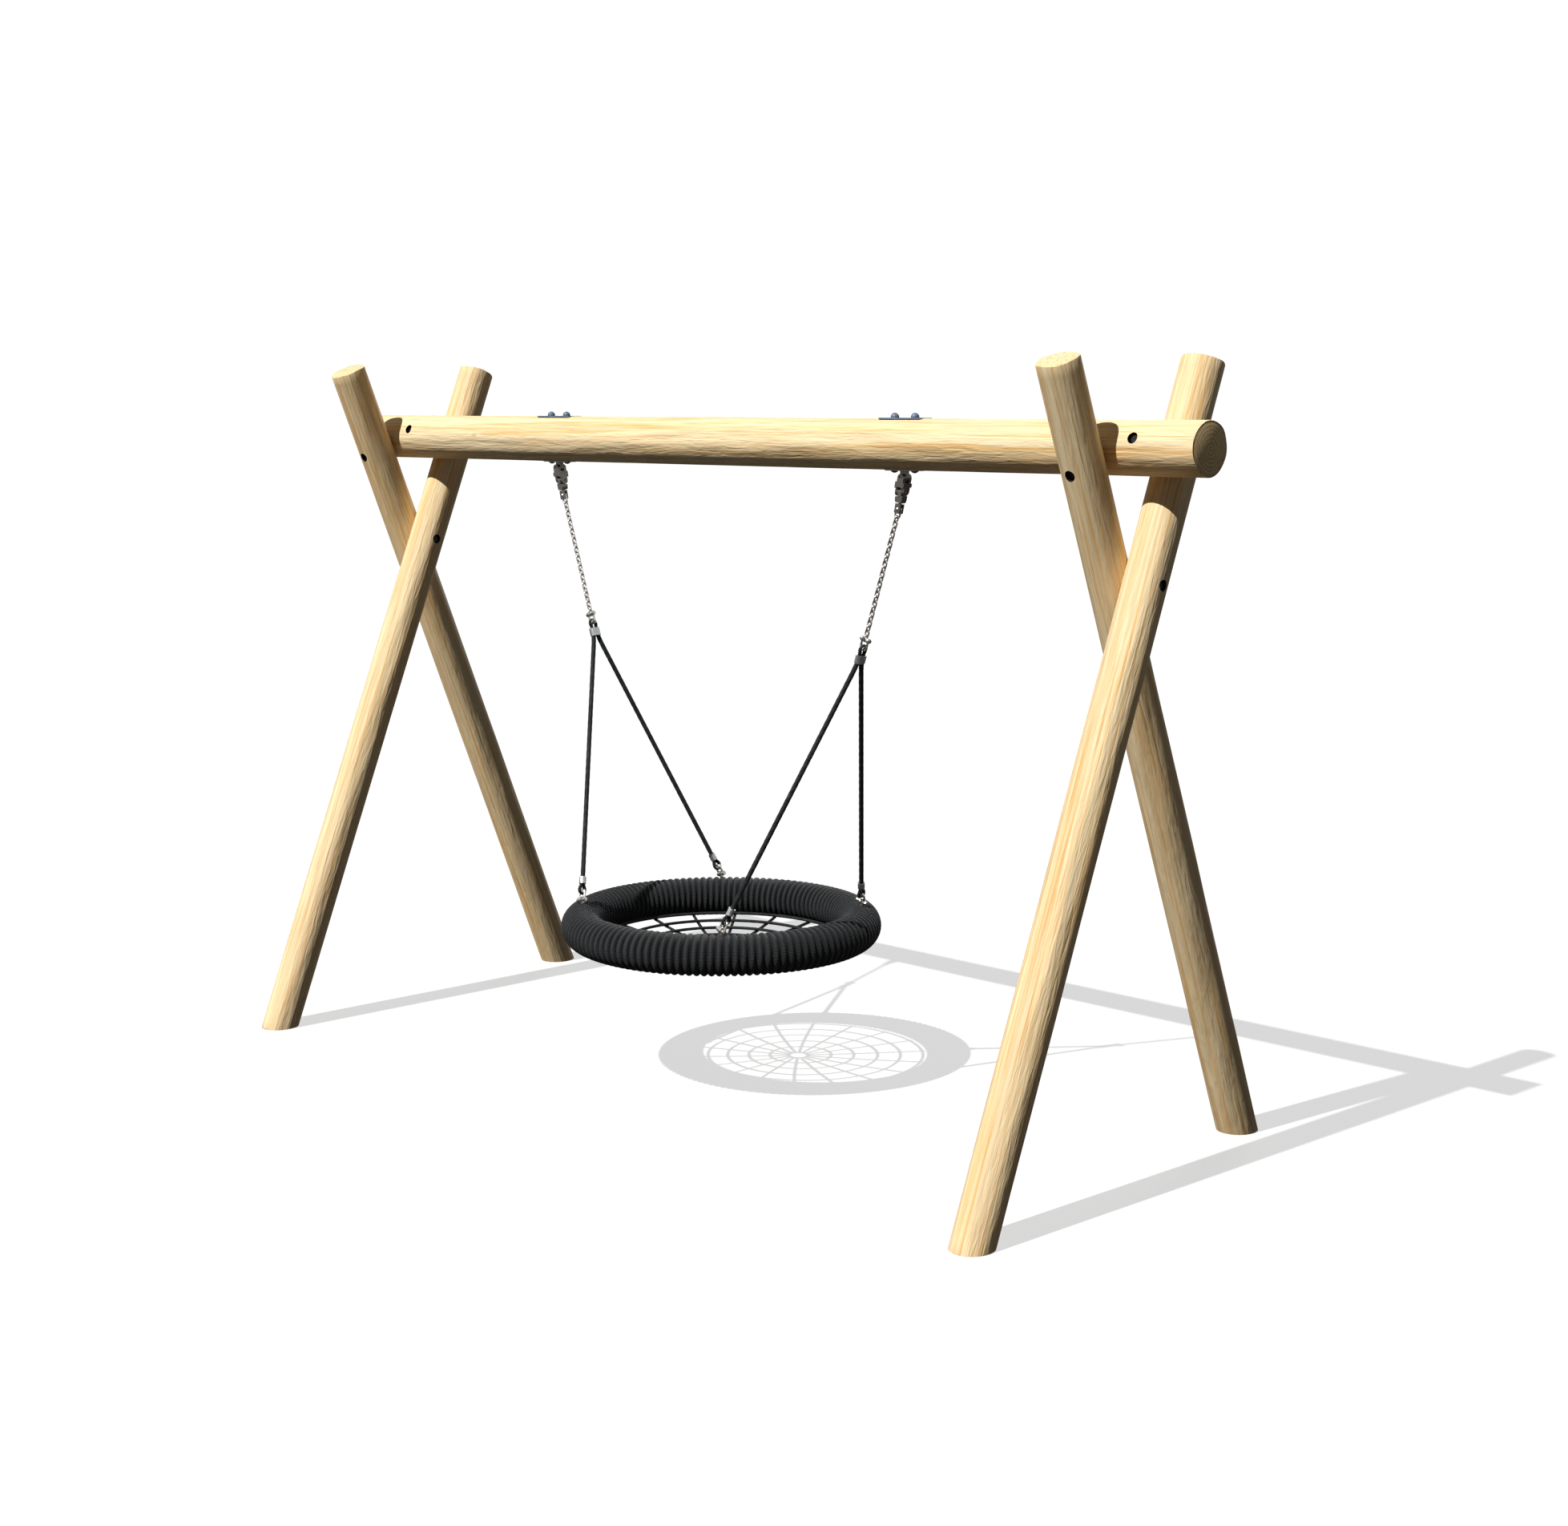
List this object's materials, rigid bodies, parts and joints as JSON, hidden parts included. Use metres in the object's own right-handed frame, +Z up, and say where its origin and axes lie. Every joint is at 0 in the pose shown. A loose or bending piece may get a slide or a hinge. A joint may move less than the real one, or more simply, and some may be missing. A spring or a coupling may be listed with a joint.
{
  "type": "basket swing",
  "caption": "Basket swing: a rope-wound ring with a net, hung by chains on cardan hangers from a round-log beam on two crossed-log frames.",
  "frame": {"origin": "on the ground under the middle of the beam", "axes": "+X along the beam, +Y across it, the way the basket swings, +Z up"},
  "size_m": [4.318, 1.7332, 2.6726],
  "materials": {
    "log_wood": "peeled and oiled round larch",
    "bolt_steel": "black coated",
    "cap_blue": "matte blue-grey",
    "hanger_steel": "dark coated, satin",
    "bush_bronze": "turned",
    "bright_steel": "bright stainless",
    "ferrule_aluminium": "pressed, satin",
    "rope_black": "braided steel-core rope",
    "net_cord": "braided cord",
    "wrap_rope": "wound rope",
    "tube_steel": "zinc coated",
    "foam": "closed-cell foam"
  },
  "bodies": {
    "frame": {"leg_left_front": "log_wood", "leg_left_rear": "log_wood", "leg_right_front": "log_wood", "leg_right_rear": "log_wood", "beam": "log_wood", "frame_bolts": "bolt_steel", "frame_washers": "bolt_steel", "frame_nuts": "bolt_steel", "top_plate_left": "cap_blue", "top_plate_right": "cap_blue", "cap_nuts": "cap_blue", "hanger_bolts": "bolt_steel", "hanger_base_left": "hanger_steel", "hanger_base_right": "hanger_steel", "upper_pins": "hanger_steel", "gimbal_left": "hanger_steel", "gimbal_right": "hanger_steel", "lower_pins": "hanger_steel"},
    "chains": {"clevis_left": "hanger_steel", "clevis_right": "hanger_steel", "clevis_bushes": "bush_bronze", "swivel_left": "hanger_steel", "swivel_right": "hanger_steel", "swivel_collars": "hanger_steel", "swivel_pins": "bright_steel", "chain_left": "bright_steel", "chain_right": "bright_steel", "apex_shackle_left": "bright_steel", "apex_shackle_right": "bright_steel", "apex_pins": "bright_steel"},
    "basket": {"thimbles_upper": "bright_steel", "rope_left": "rope_black", "rope_right": "rope_black", "ferrule_left": "ferrule_aluminium", "ferrule_right": "ferrule_aluminium", "ferrules_lower": "ferrule_aluminium", "thimbles_lower": "bright_steel", "ring_shackles": "bright_steel", "ring_shackle_pins": "bright_steel", "ring_lugs": "bright_steel", "ring_tube": "tube_steel", "ring_foam": "foam", "ring_wrap": "wrap_rope", "net_spokes": "net_cord", "net_hoops": "net_cord", "net_eye": "net_cord"}
  },
  "joints": [
    {"name": "swing", "type": "hinge", "parent": "frame", "child": "chains", "pos_m": [0, 0, 2.21623], "axis": [1, 0, 0], "range_deg": [-50, 50]},
    {"name": "basket_rock", "type": "hinge", "parent": "chains", "child": "basket", "pos_m": [0, 0, 1.66478], "axis": [1, 0, 0], "range_deg": [-25, 25]}
  ]
}
